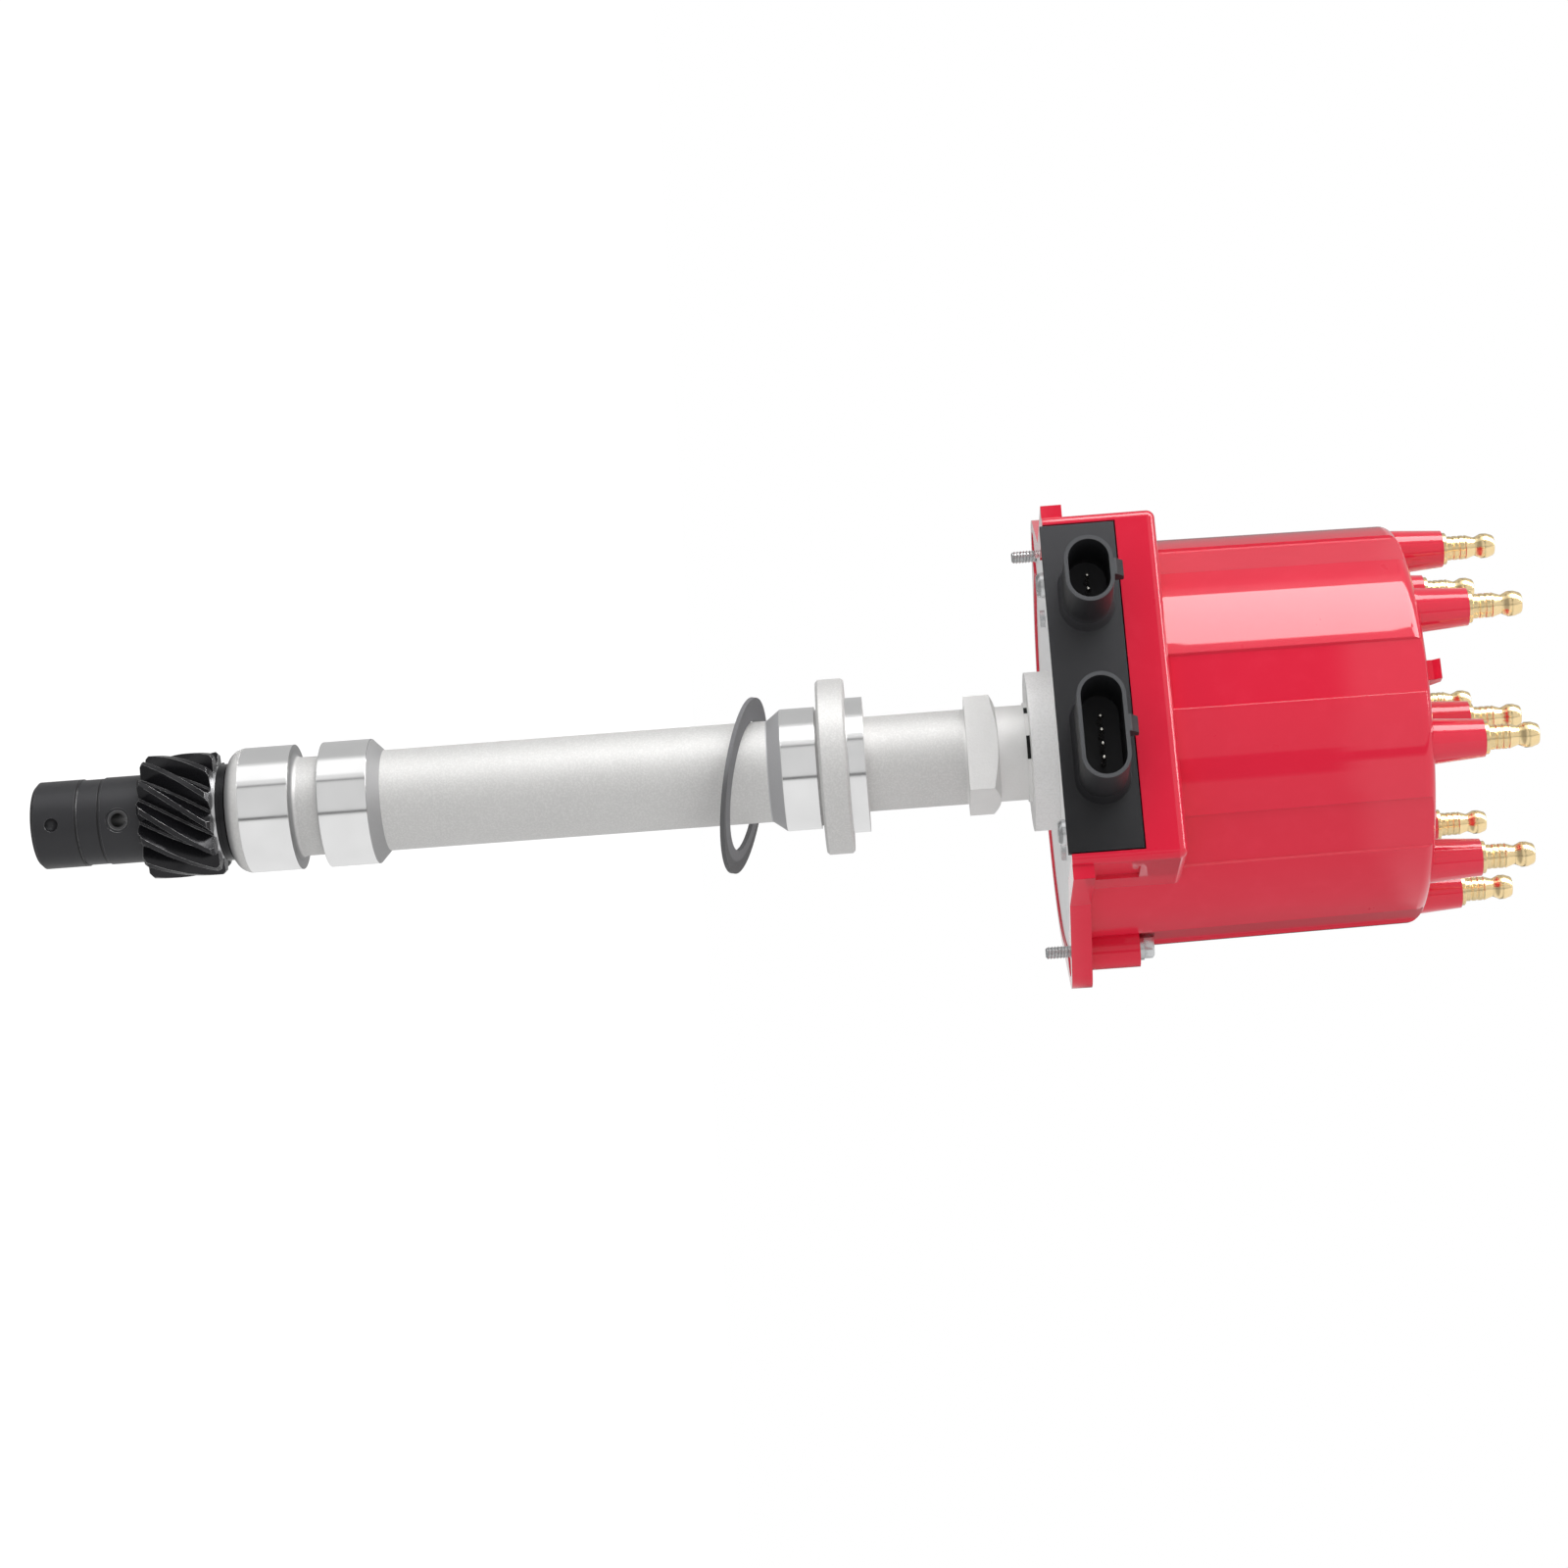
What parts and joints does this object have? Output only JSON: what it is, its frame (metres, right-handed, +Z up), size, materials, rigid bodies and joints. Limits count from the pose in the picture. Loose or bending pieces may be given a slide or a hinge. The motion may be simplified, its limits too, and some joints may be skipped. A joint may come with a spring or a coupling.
{
  "type": "ignition distributor",
  "caption": "Gear-driven electronic ignition distributor with flanged housing, side module sockets and a cap ringed by male plug terminals",
  "frame": {"origin": "centre of the mounting flange's underside", "axes": "+Z up the shaft to the cap, -Y towards the ignition module's sockets, the cap screws at +X and -X"},
  "size_m": [0.1238, 0.1263, 0.379],
  "materials": {
    "cast_aluminium": "satin cast and turned",
    "plated_steel": "bright zinc plate",
    "bronze": "sintered",
    "seal_rubber": "matte",
    "magnet": "bonded ferrite",
    "coil_former": "matte",
    "core_steel": "bare steel",
    "gear_iron": "black oxide, oiled",
    "heat_plate": "bare",
    "module_black": "matte moulded",
    "tinned_brass": "tinned",
    "cap_red": "glossy moulded",
    "rotor_plastic": "moulded",
    "terminal_brass": "turned, bright",
    "carbon": "matte carbon",
    "gasket_fibre": "matte"
  },
  "bodies": {
    "housing": {"housing": "cast_aluminium", "lower_bushing": "bronze", "upper_bushing": "bronze", "upper_seal": "seal_rubber", "base_plate": "plated_steel", "pickup_bracket": "plated_steel", "plate_rivets": "plated_steel", "magnet_ring": "magnet", "pickup_coil": "coil_former", "pole_piece": "core_steel", "pickup_clip": "plated_steel", "module_heat_plate": "heat_plate", "ignition_module": "module_black", "two_way_contacts": "tinned_brass", "four_way_contacts": "tinned_brass", "module_screws": "plated_steel", "pickup_lead": "coil_former", "cap": "cap_red", "cap_washers": "plated_steel", "cap_screws": "plated_steel", "plug_terminal_1": "terminal_brass", "plug_terminal_2": "terminal_brass", "plug_terminal_3": "terminal_brass", "plug_terminal_4": "terminal_brass", "plug_terminal_5": "terminal_brass", "plug_terminal_6": "terminal_brass", "plug_terminal_7": "terminal_brass", "plug_terminal_8": "terminal_brass", "coil_terminal": "terminal_brass", "brush_spring": "plated_steel"},
    "shaft": {"main_shaft": "core_steel", "drive_gear": "gear_iron", "roll_pin": "plated_steel", "shim_washer": "plated_steel", "lower_thrust_washer": "core_steel", "upper_thrust_washer": "core_steel", "timer_core": "core_steel", "rotor_carrier": "plated_steel", "rotor": "rotor_plastic", "rotor_screws": "plated_steel", "rotor_blade": "terminal_brass", "contact_spring": "plated_steel"},
    "brush": {"carbon_brush": "carbon"},
    "gasket": {"mounting_gasket": "gasket_fibre"}
  },
  "joints": [
    {"name": "shaft_spin", "type": "hinge", "parent": "housing", "child": "shaft", "pos_m": [0, 0, 0], "axis": [0, 0, 1], "continuous": true},
    {"name": "brush_slide", "type": "slide", "parent": "housing", "child": "brush", "axis": [0, 0, 1], "range_m": [0, 0.0015], "stiffness_N_per_m": 60, "springref_m": -0.004, "deforming": ["brush_spring"]},
    {"name": "gasket_slide", "type": "slide", "parent": "housing", "child": "gasket", "axis": [0, 0, 1], "range_m": [-0.088, 0.0025]}
  ]
}
